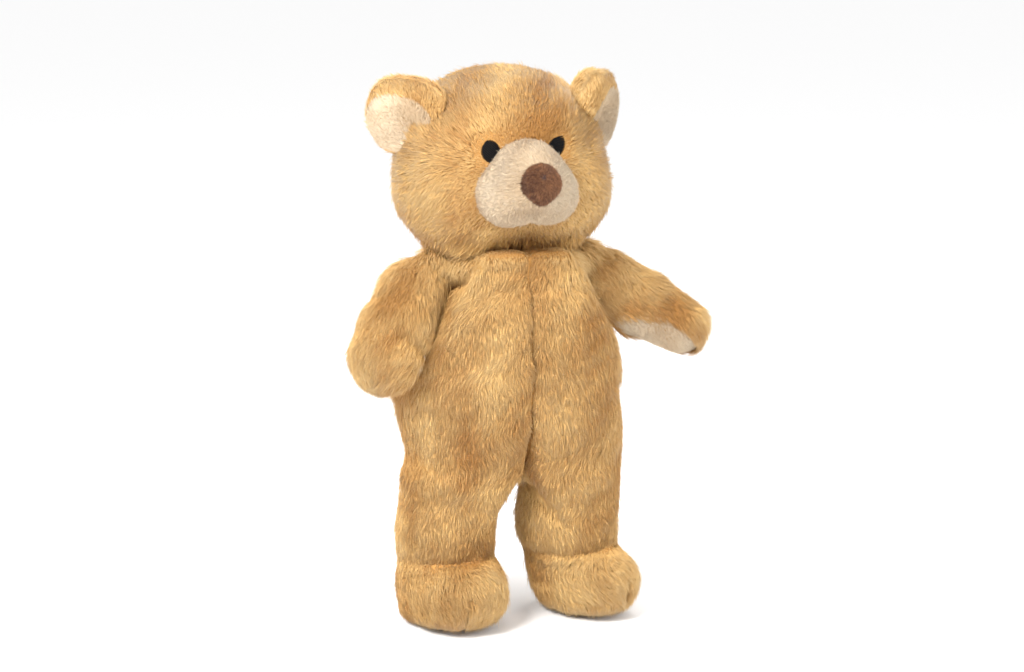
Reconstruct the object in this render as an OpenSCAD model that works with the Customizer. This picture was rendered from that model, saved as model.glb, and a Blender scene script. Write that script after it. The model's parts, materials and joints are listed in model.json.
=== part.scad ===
// Jointed teddy bear: a stuffed plush bear whose head, arms and legs each turn on a locked disc joint.
// It faces -Y with +Z up and its own right side towards -X. The origin is under the middle of its box.

/* [Head] */
// Width of the head across the cheeks
head_w = 136; // [130:1:140]
// Depth of the head from face to back
head_d = 110; // [106:1:114]
// Height of the crown above the table
crown_z = 371; // [366:1:376]
// Width of the gusset that runs over the crown
gusset_w = 44; // [38:1:50]
// Distance of the head's middle from the bear's middle plane
head_off = -6; // [-8:1:-2]
// Radius of each ear
ear_r = 25; // [22:1:27]
// Turn of each ear's front away from straight ahead
ear_turn = 55; // [50:1:65]
// Diameter of the nose pad
nose_dia = 27; // [22:1:30]
// Distance between the middles of the eyes
eye_gap = 43; // [42:1:47]

/* [Torso] */
// Width of the torso at the belly
torso_w = 142; // [138:1:144]
// Depth of the torso at the belly
torso_d = 100; // [98:1:106]
// Height of the neck joint
neck_z = 254; // [252:1:255]

/* [Arms] */
// Radius of an arm at the shoulder
arm_r = 22; // [21:0.5:23]
// Radius of a paw
paw_r = 19.5; // [18:0.5:21]
// Distance from the shoulder's middle to the paw's middle
arm_reach = 58; // [54:1:62]
// Forward swing of both arms at rest
arm_swing = 25; // [15:1:30]
// Outward lean of the bear's right arm
right_flare = 5; // [4:1:8]
// Outward lean of the bear's left arm
left_flare = 25; // [10:1:27]
// Radius of the cream pad on each paw
pad_r = 16; // [12:1:17]

/* [Legs] */
// Radius of a leg between hip and ankle
leg_r = 30; // [28:0.5:30.5]
// Distance from the middle plane to a leg's middle
leg_x = 41.5; // [41.5:0.5:43]
// Height of the hip joints
hip_z = 113; // [112:1:114]
// Height of the ankle seam
ankle_z = 47; // [44:1:49]
// Distance that a foot's toe end lies ahead of the leg
toe_ahead = 23; // [18:1:24]

/* [Plush and joints] */
// Thickness of the plush with its pressed pile
skin = 3; // [2.5:0.5:3.5]
// Radius of the stem of a disc joint
stem_r = 5; // [4:0.5:5]
// Gap between the stem and the disc it turns in
run_gap = 0.06; // [0.03:0.01:0.09]
// Gap between two bodies at a joint's faces
joint_gap = 0.5; // [0.4:0.1:0.8]

/* [Hidden] */
$fn = 56;
lining = 0.2; // between a skin and the stuffing in it
disc_t = 2.5;
washer_gap = 0.3; // between a disc and the lock ring that turns beside it
lock_t = 2.5;
lock_r = 9.5;
stem_tail = 2; // of stem past the lock ring
stem_reach = 20; // of the hole that a stem needs through the skins, each way
through = 1; // that a hole runs past each face
room = 0.6; // around turning hardware inside the stuffing
big = 1000;

// The whole bear is moved so that its box stands centred on the origin.
shift_x = -7.3;
shift_y = 15.5;

// Head: half widths from neck to crown, as shares of the full half width, against shares of the height.
head_side = (head_w - head_d) / 2;
head_z0 = neck_z + joint_gap;
head_h = crown_z - head_z0;
head_keys = [
    [0.62, 0], [0.84, 0.06], [0.95, 0.17], [1, 0.36], [0.985, 0.52],
    [0.9, 0.68], [0.74, 0.82], [0.5, 0.93], [0.2, 1]
];
muzzle_z = 300;
muzzle_y = -53;
muzzle_back = 30; // how far ahead of the head's middle the muzzle ends, inside the head
cheek_out = 13;
cheek_r = 20;
cheek_drop = 5; // below the muzzle's middle
bridge_r = 15;
bridge_rise = 11;
tip_ahead = 10;
tip_r = 21;
tip_rise = 1;
eye_z = 320;
eye_r = 5.5;
eye_tall = 5; // that the oval adds to the eye's height
eye_t = 1.4;
nose_z = 302;
nose_t = 2;
ear_x = 67;
ear_z = 341;
ear_y = 2;
ear_ball = 44; // radius of the two spheres that meet in an ear's lens

// Hip
thigh_r = 38;
thigh_edge = 11;
hip_disc_r = 16;
pelvis_disc_t = 2;
pelvis_lock_t = 2;

// Torso: the same kind of outline, from seat to neck.
torso_side = (torso_w - torso_d) / 2;
torso_z0 = hip_z + thigh_r + 1;
torso_h = neck_z - torso_z0;
torso_keys = [
    [0.87, 0], [0.95, 0.035], [0.99, 0.1], [1, 0.22], [0.98, 0.4], [0.93, 0.58],
    [0.85, 0.76], [0.74, 0.9], [0.56, 1]
];
pelvis_half = 11;
pelvis_r = 22;
seat_r = 34; // of the wider part that joins the pelvis to the torso
seat_z = hip_z + 16;
neck_disc_r = 21;

// Shoulder: the joint's face looks outward and upward, and the arm's middle line starts off_face above it.
shoulder = [50, 0, 213.5];
shoulder_tilt = 30;
shoulder_disc_r = 17;
shoulder_boss_r = 20;
off_face = 19;
pad_back = 4; // from the paw's middle to the pad's, towards the shoulder
arc_step = 8; // degrees between the points of an arm's arcs
chamfer_up = 24; // how far up the torso the flattened side under the arm reaches

// Foot
foot_r = 32;
foot_edge = 8;
foot_dome = 22;
foot_lap = 5; // of the dome's arc below its middle
sole_t = 4;
toe_turn = [-5, 16]; // turn of the right foot and of the left foot from straight ahead

gold = [0.80, 0.62, 0.39];
cream = [0.93, 0.85, 0.73];
brown = [0.42, 0.29, 0.25];
black = [0.08, 0.08, 0.09];
fill = [0.95, 0.95, 0.93];
board = [0.55, 0.40, 0.26];
steel = [0.75, 0.76, 0.78];

// ---- outlines and general shapes ----

// A point on the smooth curve through four points, between the second and the third.
function between(a, b, c, d, t) =
    0.5 * (2 * b + (c - a) * t + (2 * a - 5 * b + 4 * c - d) * t * t
    + (3 * b - a - 3 * c + d) * t * t * t);

function smooth(keys, steps = 3) = let (last = len(keys) - 1) concat(
    [for (i = [0 : last - 1]) for (j = [0 : steps - 1])
        between(keys[max(i - 1, 0)], keys[i], keys[i + 1], keys[min(i + 2, last)], j / steps)],
    [keys[last]]);

// An outline from keys, inset on all sides: radius against height.
function outline(keys, half_w, z0, height, inset) =
    [for (k = smooth(keys)) [k.x * half_w - inset, z0 + inset + k.y * (height - 2 * inset)]];

function closed(points) =
    concat([[0, points[0].y]], points, [[0, points[len(points) - 1].y]]);

// A turned outline that is drawn out sideways by half on each side: wider than it is deep.
module drawn_out(half) {
    for (side = [-1, 1])
        translate([side * half, 0, 0])
            rotate([0, 0, -90 * side])
                rotate_extrude(angle = 180)
                    children();
    rotate([90, 0, 90])
        linear_extrude(2 * half, center = true) {
            children();
            mirror([1, 0]) children();
        }
}

module half_space(axis, from) {
    turn = axis == "+z" ? [0, 0, 0] : axis == "-z" ? [180, 0, 0] : axis == "+x" ? [0, 90, 0]
        : axis == "-x" ? [0, -90, 0] : axis == "+y" ? [-90, 0, 0] : [90, 0, 0];
    rotate(turn)
        translate([-big / 2, -big / 2, from])
            cube(big);
}

module placed() {
    translate([shift_x, shift_y, 0]) children();
}

// Puts children, whose +Z is the joint's axis, on the shoulder face of one side.
module at_shoulder(side) {
    translate([side * shoulder.x, shoulder.y, shoulder.z])
        rotate([0, side * (90 - shoulder_tilt), 0])
            children();
}

module at_hip(side) {
    translate([side * pelvis_half, 0, hip_z])
        rotate([0, side * 90, 0])
            children();
}

module at_neck() {
    translate([head_off / 2, 0, neck_z]) children();
}

// ---- joint hardware: the axis is +Z and z = 0 is the stay-put face; the turning side is above ----

function lock_top(cover, disc) = -cover - disc - washer_gap;

module turning_disc(radius, cover, disc, lock) {
    tail = lock_top(cover, disc) - lock - stem_tail;
    translate([0, 0, joint_gap + skin])
        cylinder(h = disc_t, r = radius);
    translate([0, 0, tail])
        cylinder(h = joint_gap + skin - tail, r = stem_r);
}

module lock_ring(cover, disc, lock) {
    translate([0, 0, lock_top(cover, disc) - lock])
        difference() {
            cylinder(h = lock, r = lock_r);
            translate([0, 0, -through]) cylinder(h = lock + 2 * through, r = stem_r);
        }
}

module fixed_disc(radius, cover, disc) {
    translate([0, 0, -cover - disc])
        difference() {
            cylinder(h = disc, r = radius);
            translate([0, 0, -through]) cylinder(h = disc + 2 * through, r = stem_r + run_gap);
        }
}

// What the stay-put stuffing leaves free, and what the turning stuffing leaves free.
module stay_room(radius, cover, disc, lock) {
    depth = cover + disc + washer_gap + lock + stem_tail + room;
    translate([0, 0, -depth]) cylinder(h = depth + through, r = lock_r + room);
    translate([0, 0, -cover - disc]) cylinder(h = disc + cover + through, r = radius + lining);
}

module turn_room(radius) {
    cylinder(h = joint_gap + skin + disc_t, r = radius + lining);
}

module stem_room() {
    cylinder(h = 2 * stem_reach, r = stem_r + 1, center = true);
}

// ---- torso ----

module torso_form(inset) {
    difference() {
        union() {
            drawn_out(torso_side)
                polygon(closed(outline(torso_keys, torso_d / 2, torso_z0, torso_h, inset)));
            for (part = [[hip_z, pelvis_r], [seat_z, seat_r]])
                translate([0, 0, part[0]])
                    rotate([0, 90, 0])
                        cylinder(h = 2 * (pelvis_half - inset), r = part[1] - inset, center = true);
        }
        for (side = [-1, 1])
            at_shoulder(side)
                translate([side > 0 ? -chamfer_up : -big, -big / 2, -inset])
                    cube([big + chamfer_up, big, big]);
    }
}

module torso_joints() {
    for (side = [-1, 1]) {
        at_shoulder(side) stem_room();
        at_hip(side) stem_room();
    }
    at_neck() stem_room();
}

module torso_panel(side, front) {
    color(gold)
        difference() {
            intersection() {
                torso_form(0);
                half_space(side > 0 ? "+x" : "-x", 0);
                half_space(front ? "-y" : "+y", 0);
            }
            torso_form(skin);
            torso_joints();
        }
}

module torso_stuffing() {
    color(fill)
        difference() {
            torso_form(skin + lining);
            for (side = [-1, 1]) {
                at_shoulder(side) stay_room(shoulder_disc_r, skin, disc_t, lock_t);
                at_hip(side) stay_room(hip_disc_r, skin, pelvis_disc_t, pelvis_lock_t);
            }
            at_neck() stay_room(neck_disc_r, skin, disc_t, lock_t);
        }
}

// ---- head ----

module at_head() {
    translate([head_off, 0, 0]) children();
}

module head_form(inset) {
    at_head()
        drawn_out(head_side)
            polygon(closed(outline(head_keys, head_d / 2, head_z0, head_h, inset)));
}

module gusset_zone() {
    at_head()
        for (zone = [[-big, muzzle_z], [0, 0]])
            translate([-gusset_w / 2, zone[0], zone[1]])
                cube([gusset_w, big, big]);
}

module head_side(side) {
    color(gold)
        difference() {
            intersection() {
                head_form(0);
                at_head() half_space(side > 0 ? "+x" : "-x", 0);
            }
            head_form(skin);
            gusset_zone();
            at_neck() stem_room();
        }
}

module head_gusset() {
    color(gold)
        difference() {
            intersection() {
                head_form(0);
                gusset_zone();
            }
            head_form(skin);
            at_neck() stem_room();
        }
}

module head_stuffing() {
    color(fill)
        difference() {
            head_form(skin + lining);
            at_neck() turn_room(neck_disc_r);
        }
}

module neck_disc() {
    color(board)
        at_neck() turning_disc(neck_disc_r, skin, disc_t, lock_t);
}

module neck_lock() {
    color(steel)
        at_neck() lock_ring(skin, disc_t, lock_t);
}

module neck_washer() {
    color(board)
        at_neck() fixed_disc(neck_disc_r, skin, disc_t);
}

// Two cheeks, a bridge and a tip under the nose.
module muzzle_form() {
    at_head()
        hull() {
            for (side = [-1, 1])
                translate([side * cheek_out, muzzle_y, muzzle_z - cheek_drop])
                    sphere(cheek_r, $fn = 32);
            translate([0, muzzle_y, muzzle_z + bridge_rise]) sphere(bridge_r, $fn = 32);
            translate([0, muzzle_y - tip_ahead, muzzle_z + tip_rise]) sphere(tip_r, $fn = 32);
        }
}

module muzzle_half(side) {
    color(cream)
        difference() {
            intersection() {
                muzzle_form();
                at_head() half_space(side > 0 ? "+x" : "-x", 0);
                half_space("-y", muzzle_back);
            }
            head_form(-lining);
        }
}

module nose() {
    color(brown)
        difference() {
            at_head()
                translate([0, muzzle_y - tip_ahead, nose_z])
                    intersection() {
                        rotate([90, 0, 0]) cylinder(h = 2 * tip_r, r = nose_dia / 2);
                        sphere(tip_r + nose_t, $fn = 120);
                    }
            muzzle_form();
        }
}

module eye(side) {
    color(black)
        difference() {
            intersection() {
                head_form(-eye_t);
                at_head()
                    translate([side * eye_gap / 2, -head_d / 4, eye_z])
                        rotate([90, 0, 0])
                            linear_extrude(head_d / 2)
                                union() {
                                    for (end = [-0.5, 0.5])
                                        translate([0, end * eye_tall]) circle(eye_r);
                                    square([2 * eye_r, eye_tall], center = true);
                                }
            }
            head_form(0);
            muzzle_form();
        }
}

module ear_lens(side) {
    drop = sqrt(ear_ball * ear_ball - ear_r * ear_r);
    at_head()
        translate([side * ear_x, ear_y, ear_z])
            rotate([0, 0, side * ear_turn])
                intersection() {
                    translate([0, drop, 0]) sphere(ear_ball, $fn = 160);
                    translate([0, -drop, 0]) sphere(ear_ball, $fn = 160);
                }
}

module ear(side, front) {
    color(front ? cream : gold)
        difference() {
            intersection() {
                ear_lens(side);
                at_head()
                    translate([side * ear_x, ear_y, ear_z])
                        rotate([0, 0, side * ear_turn])
                            half_space(front ? "-y" : "+y", 0);
            }
            head_form(-lining);
        }
}

// ---- arms ----

function flare(side) = side > 0 ? left_flare : right_flare;

// Puts children, whose +Z runs from shoulder to paw, on the arm's middle line.
module along_arm(side) {
    at_shoulder(side)
        translate([0, 0, off_face])
            rotate([0, 0, -side * arm_swing + (side > 0 ? 0 : 180)])
                rotate([0, 90 - flare(side), 0])
                    children();
}

// The round outline of an arm: an arc at the shoulder, a straight taper and an arc at the paw.
function arm_outline(inset) = let (slope = asin((arm_r - paw_r) / arm_reach)) concat(
    [for (a = [-90 : arc_step : slope]) (arm_r - inset) * [cos(a), sin(a)]],
    [for (a = [slope : arc_step : 90]) [0, arm_reach] + (paw_r - inset) * [cos(a), sin(a)]],
    [[0, arm_reach + paw_r - inset]]);

module arm_form(side, inset) {
    difference() {
        union() {
            along_arm(side)
                rotate_extrude()
                    polygon(arm_outline(inset));
            at_shoulder(side)
                cylinder(h = off_face, r = shoulder_boss_r - inset);
        }
        at_shoulder(side)
            translate([-big / 2, -big / 2, joint_gap + inset - big])
                cube(big);
    }
}

// The pad lies on the side of the paw that faces the body.
module pad_zone(side) {
    along_arm(side)
        translate([0, 0, arm_reach - pad_back])
            rotate([0, 90, 0])
                cylinder(h = 2 * arm_r, r = pad_r);
}

module arm_half(side, outer) {
    color(gold)
        difference() {
            intersection() {
                arm_form(side, 0);
                along_arm(side)
                    half_space(outer ? "-x" : "+x", 0);
            }
            arm_form(side, skin);
            at_shoulder(side) stem_room();
            if (!outer) pad_zone(side);
        }
}

module arm_pad(side) {
    color(cream)
        difference() {
            intersection() {
                arm_form(side, 0);
                pad_zone(side);
            }
            arm_form(side, skin);
        }
}

module arm_stuffing(side) {
    color(fill)
        difference() {
            arm_form(side, skin + lining);
            at_shoulder(side) turn_room(shoulder_disc_r);
        }
}

module arm_disc(side) {
    color(board)
        at_shoulder(side) turning_disc(shoulder_disc_r, skin, disc_t, lock_t);
}

module arm_lock(side) {
    color(steel)
        at_shoulder(side) lock_ring(skin, disc_t, lock_t);
}

module arm_washer(side) {
    color(board)
        at_shoulder(side) fixed_disc(shoulder_disc_r, skin, disc_t);
}

// ---- legs ----

// The thigh is a thick disc that turns about the hip's axis.
module thigh(side, inset) {
    half = leg_x - pelvis_half - joint_gap;
    edge = thigh_edge;
    translate([side * leg_x, 0, hip_z])
        rotate([0, 90, 0])
            rotate_extrude()
                translate([0, inset - half])
                    union() {
                        square([thigh_r - edge, 2 * (half - inset)]);
                        translate([0, edge - inset])
                            square([thigh_r - inset, 2 * (half - edge)]);
                        for (end = [edge - inset, 2 * half - edge - inset])
                            translate([thigh_r - edge, end]) circle(edge - inset);
                    }
}

function foot_turn(side) = toe_turn[side > 0 ? 1 : 0];

module foot_outline(inset) {
    top = ankle_z - inset;
    union() {
        translate([0, inset]) square([foot_r - foot_edge, ankle_z - foot_dome - inset]);
        translate([0, inset]) square([foot_r - foot_dome, top - inset]);
        translate([0, foot_edge]) square([foot_r - inset, ankle_z - foot_dome - foot_edge]);
        translate([foot_r - foot_edge, foot_edge]) circle(foot_edge - inset);
        intersection() {
            translate([foot_r - foot_dome, ankle_z - foot_dome]) circle(foot_dome - inset);
            translate([0, ankle_z - foot_dome - foot_lap]) square(big);
        }
    }
}

// The foot runs from the heel, under the leg, to the toe end.
module foot(side, inset) {
    translate([side * leg_x, 0, 0])
        rotate([0, 0, foot_turn(side)])
            translate([0, -toe_ahead / 2, 0])
                rotate([0, 0, 90])
                    drawn_out(toe_ahead / 2) foot_outline(inset);
}

module leg_form(side, inset) {
    thigh(side, inset);
    translate([side * leg_x, 0, ankle_z - foot_dome])
        cylinder(h = hip_z - ankle_z + foot_dome, r = leg_r - inset);
    foot(side, inset);
}

module leg_panel(side, front) {
    color(gold)
        difference() {
            intersection() {
                leg_form(side, 0);
                half_space("+z", ankle_z);
                half_space(front ? "-y" : "+y", 0);
            }
            leg_form(side, skin);
            at_hip(side) stem_room();
        }
}

module leg_foot(side) {
    color(gold)
        difference() {
            intersection() {
                leg_form(side, 0);
                half_space("+z", sole_t);
                half_space("-z", -ankle_z);
            }
            leg_form(side, skin);
        }
}

module leg_sole(side) {
    color(gold)
        intersection() {
            leg_form(side, 0);
            half_space("-z", -sole_t);
        }
}

module leg_stuffing(side) {
    color(fill)
        difference() {
            intersection() {
                leg_form(side, skin + lining);
                half_space("+z", sole_t + lining);
            }
            at_hip(side) turn_room(hip_disc_r);
        }
}

module leg_disc(side) {
    color(board)
        at_hip(side) turning_disc(hip_disc_r, skin, pelvis_disc_t, pelvis_lock_t);
}

module leg_lock(side) {
    color(steel)
        at_hip(side) lock_ring(skin, pelvis_disc_t, pelvis_lock_t);
}

module leg_washer(side) {
    color(board)
        at_hip(side) fixed_disc(hip_disc_r, skin, pelvis_disc_t);
}

// ---- nodes ----

placed() torso_stuffing();
placed() neck_washer();
placed() head_gusset();
placed() head_stuffing();
placed() neck_disc();
placed() neck_lock();
placed() nose();

for (side = [-1, 1]) {
    word = side < 0 ? "right" : "left";
    placed() torso_panel(side, true);
    placed() torso_panel(side, false);
    placed() head_side(side);
    placed() muzzle_half(side);
    placed() eye(side);
    placed() ear(side, true);
    placed() ear(side, false);
    placed() arm_half(side, true);
    placed() arm_half(side, false);
    placed() arm_pad(side);
    placed() arm_stuffing(side);
    placed() arm_disc(side);
    placed() arm_lock(side);
    placed() arm_washer(side);
    placed() leg_panel(side, true);
    placed() leg_panel(side, false);
    placed() leg_foot(side);
    placed() leg_sole(side);
    placed() leg_stuffing(side);
    placed() leg_disc(side);
    placed() leg_lock(side);
    placed() leg_washer(side);
}
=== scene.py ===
"""Jointed teddy bear: plush skins, pile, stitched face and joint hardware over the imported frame.

Lengths below are millimetres measured from the bear's middle (its hips' middle, on the ground),
and to_row() turns them into metres in the row frame.
"""

import json
import math

import bpy
import numpy as np
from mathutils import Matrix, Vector


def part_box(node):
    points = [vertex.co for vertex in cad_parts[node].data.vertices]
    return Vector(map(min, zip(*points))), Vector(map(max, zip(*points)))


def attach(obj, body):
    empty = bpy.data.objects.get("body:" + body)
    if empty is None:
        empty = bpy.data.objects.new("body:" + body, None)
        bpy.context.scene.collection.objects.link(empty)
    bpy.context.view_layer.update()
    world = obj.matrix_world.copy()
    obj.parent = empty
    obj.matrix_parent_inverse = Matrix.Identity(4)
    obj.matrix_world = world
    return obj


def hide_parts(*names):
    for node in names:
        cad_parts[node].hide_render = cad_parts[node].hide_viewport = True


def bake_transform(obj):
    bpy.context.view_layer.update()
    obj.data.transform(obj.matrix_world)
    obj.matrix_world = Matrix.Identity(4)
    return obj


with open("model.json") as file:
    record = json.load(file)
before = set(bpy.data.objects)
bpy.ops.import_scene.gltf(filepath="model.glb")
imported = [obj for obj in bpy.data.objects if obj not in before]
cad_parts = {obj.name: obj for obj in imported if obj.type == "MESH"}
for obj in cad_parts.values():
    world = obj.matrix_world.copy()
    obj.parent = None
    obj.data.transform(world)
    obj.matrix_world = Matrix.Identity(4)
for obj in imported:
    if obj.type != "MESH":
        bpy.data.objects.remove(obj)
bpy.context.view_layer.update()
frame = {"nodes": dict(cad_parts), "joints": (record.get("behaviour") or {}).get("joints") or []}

MM = 0.001
SIDES = {"right": -1, "left": 1}
joint = {j["name"]: j for j in frame["joints"]}
hip = {s: np.array(joint[f"leg_{s}_swing"]["pos_m"]) for s in SIDES}
middle = np.array([(hip["right"][0] + hip["left"][0]) / 2, hip["left"][1], 0.0])


def from_row(p):
    return (np.asarray(p, float) - middle) / MM


def to_row(p):
    return np.asarray(p, float) * MM + middle


def unit(v):
    v = np.asarray(v, float)
    return v / np.maximum(np.linalg.norm(v, axis=-1, keepdims=True), 1e-9)


def along(v, n):
    """The part of v that lies in the surface whose normal is n."""
    return v - (v * n).sum(-1, keepdims=True) * n


def fade(x, a, b):
    """0 before a, 1 after b, smooth between."""
    t = np.clip((x - a) / (b - a), 0, 1)
    return t * t * (3 - 2 * t)


def ripple(p, wave, seed):
    """A smooth field of three numbers near -1 to 1 that changes over about one wave length."""
    r = np.random.default_rng(seed)
    total = np.zeros((len(p), 3))
    for _ in range(5):
        k = unit(r.normal(size=3)) * 2 * math.pi / (wave * r.uniform(0.7, 1.4))
        total += np.sin((p @ k)[:, None] + r.uniform(0, 2 * math.pi, 3)) * unit(r.normal(size=3))
    return total / 1.6


# ---- forms: signed distances in millimetres ----


def ball(p, centre, radii, turn=None):
    q = p - np.asarray(centre, float)
    if turn is not None:
        q = q @ turn
    r = np.asarray(radii, float)
    a = np.linalg.norm(q / r, axis=-1)
    return a * (a - 1) / np.maximum(np.linalg.norm(q / r**2, axis=-1), 1e-9)


def limb(p, a, b, ra, rb):
    """A round-ended cone from a to b."""
    a, b = np.asarray(a, float), np.asarray(b, float)
    t = np.clip(((p - a) @ (b - a)) / ((b - a) @ (b - a)), 0, 1)
    return np.linalg.norm(p - a - t[:, None] * (b - a), axis=-1) - (ra + (rb - ra) * t)


def slab(p, point, normal):
    return (p - np.asarray(point, float)) @ unit(normal)


def join(a, b, k):
    h = np.clip(0.5 + 0.5 * (b - a) / k, 0, 1)
    return b + (a - b) * h - k * h * (1 - h)


def cut(a, b, k):
    """What both a and b hold, with a rounded edge."""
    return -join(-a, -b, k)


def turn_z(degrees):
    a = math.radians(degrees)
    return np.array([[math.cos(a), -math.sin(a), 0], [math.sin(a), math.cos(a), 0], [0, 0, 1]])


neck = from_row(joint["neck_swivel"]["pos_m"])
HEAD_X = 2 * neck[0]
LEG_X = {s: (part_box(f"leg_{s}_front")[0].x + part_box(f"leg_{s}_front")[1].x) / 2 for s in SIDES}
LEG_X = {s: float(from_row([x, 0, 0])[0]) for s, x in LEG_X.items()}
SHOULDER = {s: from_row(joint[f"arm_{s}_swing"]["pos_m"]) for s in SIDES}
ARM_OUT = {s: unit(np.array(joint[f"arm_{s}_swing"]["axis"]) * -side) for s, side in SIDES.items()}
UP_ALONG = {s: unit(along(np.array([0, 0, 1.0]), ARM_OUT[s])) for s in SIDES}
ARM_OFF = 19.0  # from the shoulder's joint to an arm's middle line
ARM_SWING = 25.0  # degrees forward at rest
FLARE = {"right": 3.0, "left": 26.5}  # degrees outward at rest
REACH = {"right": 47.0, "left": 56.5}  # from an arm's start to the middle of its paw
ELBOW = 26.0  # from an arm's start
ELBOW_R = {"right": 22.5, "left": 20.5}
PAW_R = {"right": 22.5, "left": 17.2}
TOE_TURN = {"right": -5.0, "left": 30.0}  # degrees
TOE_R = {"right": 31.0, "left": 27.0}
SPLAY = {"right": -4.0, "left": -1.5}  # of a shank from its place under the hip
SLIM = {"right": 1.2, "left": 0.0}  # of a shank's half width
HEEL = {"right": -1.5, "left": 3.0}  # of a heel's middle from the leg's
GROUND = 1.0  # height of the soles' skin, under which the pile fits
SEAT = 152.0  # height of the lower edge of the belly's skin, about
CROTCH = 97.0
ANKLE = 48.0  # height where the foot's panel meets the leg's
SOLE = 3.2  # height of the sole's edge
JOINT_BARE = (14, 24)  # half length and radius of the bare place at the neck


def curve(keys, count=80):
    """A smooth curve through keys, as tables of height and of each other number."""
    keys = np.array(keys, float)
    k = np.vstack([keys[0], keys, keys[-1]])
    t = np.linspace(0, len(keys) - 1 - 1e-6, count)
    i = t.astype(int)
    t = (t - i)[:, None]
    a, b, c, d = k[i], k[i + 1], k[i + 2], k[i + 3]
    return 0.5 * (
        2 * b + (c - a) * t + (2 * a - 5 * b + 4 * c - d) * t**2 + (3 * b - a - 3 * c + d) * t**3
    )


# The torso: height and radius at the side.
TORSO = curve(
    [(142, 47.4), (148, 48.2), (154, 49), (162, 49.6), (174, 49.8), (193, 48.6), (211, 46.5),
     (229, 43.5), (243, 43), (249, 43.3), (256, 43)]
)
TORSO_SIDE = {"right": 22.6, "left": 21.5}  # half width of its flat front, to each side


def hip_bulge(s, z):
    """How much further out the belly stands over a hip, with the fold of the right hip under it."""
    if s == "left":
        return 2.4 * np.exp(-(((z - 132) / 28) ** 2))
    return 5.0 * np.exp(-(((z - 152) / 20) ** 2)) - 2.6 * np.exp(-(((z - 116) / 13) ** 2))


def torso_form(p):
    right, left = (TORSO_SIDE[s] + hip_bulge(s, p[:, 2]) for s in ("right", "left"))
    straight = np.where(p[:, 0] < 0, right, left)
    ring = np.hypot(np.maximum(np.abs(p[:, 0]) - straight, 0), p[:, 1])
    body = (ring - np.interp(p[:, 2], TORSO[:, 0], TORSO[:, 1])) * 0.95
    body = cut(body, SEAT - 5 - p[:, 2], 3)
    for s in SIDES:
        body = cut(body, slab(p, SHOULDER[s] - 0.6 * ARM_OUT[s], ARM_OUT[s]), 5)
    body = join(body, ball(p, (0, 0, 241), (48, 41, 14)), 4)
    body = cut(body, p[:, 2] - neck[2] + 0.8, 2)
    seat = ball(p, (0, 0, 113), (16, 19, 17))
    seat = join(seat, ball(p, (0, 0, 136), (17, 32, 32)), 8)
    seat = cut(seat, np.abs(p[:, 0]) - 9, 3)
    body = join(body, seat, 6)
    front = p[:, 1] < 0
    return body + 2.8 * np.exp(-((p[:, 0] / 2.6) ** 2)) * front


def head_form(p):
    body = ball(p, (HEAD_X - 0.8, 2, 315), (66.2, 53, 53.5))
    for side in (-1, 1):
        body = join(body, ball(p, (HEAD_X + side * 27, -2, 289), (42, 47, 35)), 16)
    body = join(body, ball(p, (HEAD_X, -20, 333), (38, 30, 25)), 16)
    body = cut(body, -slab(p, (0, 0, neck[2] + 1.0), (0, 0, 1)), 4)
    for side in (-1, 1):
        body = cut(body, -ball(p, (HEAD_X + side * 23, -60, 320), (11, 13, 11)), 8)
    return body


def muzzle_form(p):
    body = ball(p, (HEAD_X, -60, 301), (23, 24, 21))
    for side in (-1, 1):
        body = join(body, ball(p, (HEAD_X + side * 13, -50, 293), (19, 25, 19)), 8)
    body = join(body, ball(p, (HEAD_X, -46, 311), (17, 24, 17)), 10)
    q = p[:, 0] - HEAD_X
    lip = np.exp(-((q / 1.8) ** 2)) * (1 - fade(p[:, 2], 284, 290))
    return body + 2.6 * lip


def arm_way(s):
    """Where an arm's middle line starts, its direction, and its inward and sideways directions."""
    out = ARM_OUT[s]
    front = np.array([0.0, -1.0, 0.0])
    down = unit(np.cross(np.cross(out, [0, 0, -1.0]), out))
    a, f = math.radians(ARM_SWING), math.radians(FLARE[s])
    flat = math.cos(a) * down + math.sin(a) * front
    way = math.cos(f) * flat + math.sin(f) * out
    inward = unit(along(-out, way))
    return SHOULDER[s] + ARM_OFF * out, way, inward, np.cross(way, inward)


def arm_form(s):
    start, way, inward, wide = arm_way(s)

    def form(p):
        elbow = start + way * ELBOW
        top = SHOULDER[s] + 13 * ARM_OUT[s] + 22.3 * UP_ALONG[s]
        body = limb(p, start, elbow, 19.8, ELBOW_R[s])
        body = join(body, limb(p, start + 2 * way, top, 18.5, 12.5), 8)
        body = join(body, limb(p, elbow, start + way * REACH[s], ELBOW_R[s], PAW_R[s]), 4)
        body = cut(body, -slab(p, SHOULDER[s] + 1.0 * ARM_OUT[s], ARM_OUT[s]), 4)
        t = (p - start) @ way
        crease = np.exp(-(((t - 33 - 0.25 * ((p - start) @ wide)) / 3.5) ** 2))
        crease = crease * fade((p - start) @ inward, -10, 12)
        return body + 1.0 * crease

    return form


# A leg below the crotch: height, middle from the plane between the legs, half width, half depth.
LEG = curve(
    [(20, 41.5, 30, 28), (48, 41.5, 31, 29), (64, 41.5, 31.2, 31.5), (84, 41.2, 31, 34.8),
     (104, 41.2, 30.4, 38), (130, 41, 28, 41)]
)
# The seat above it, each leg's half up to the belly: height, radius at the side, half width.
SEAT_LINE = curve(
    [(48, 28.5, 71), (64, 31.5, 71.8), (84, 35, 72), (104, 39, 72), (124, 43.6, 71.8),
     (140, 46.6, 70.8), (149, 47.8, 70), (156, 48.2, 69.6), (176, 48.6, 69.2)]
)


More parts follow.
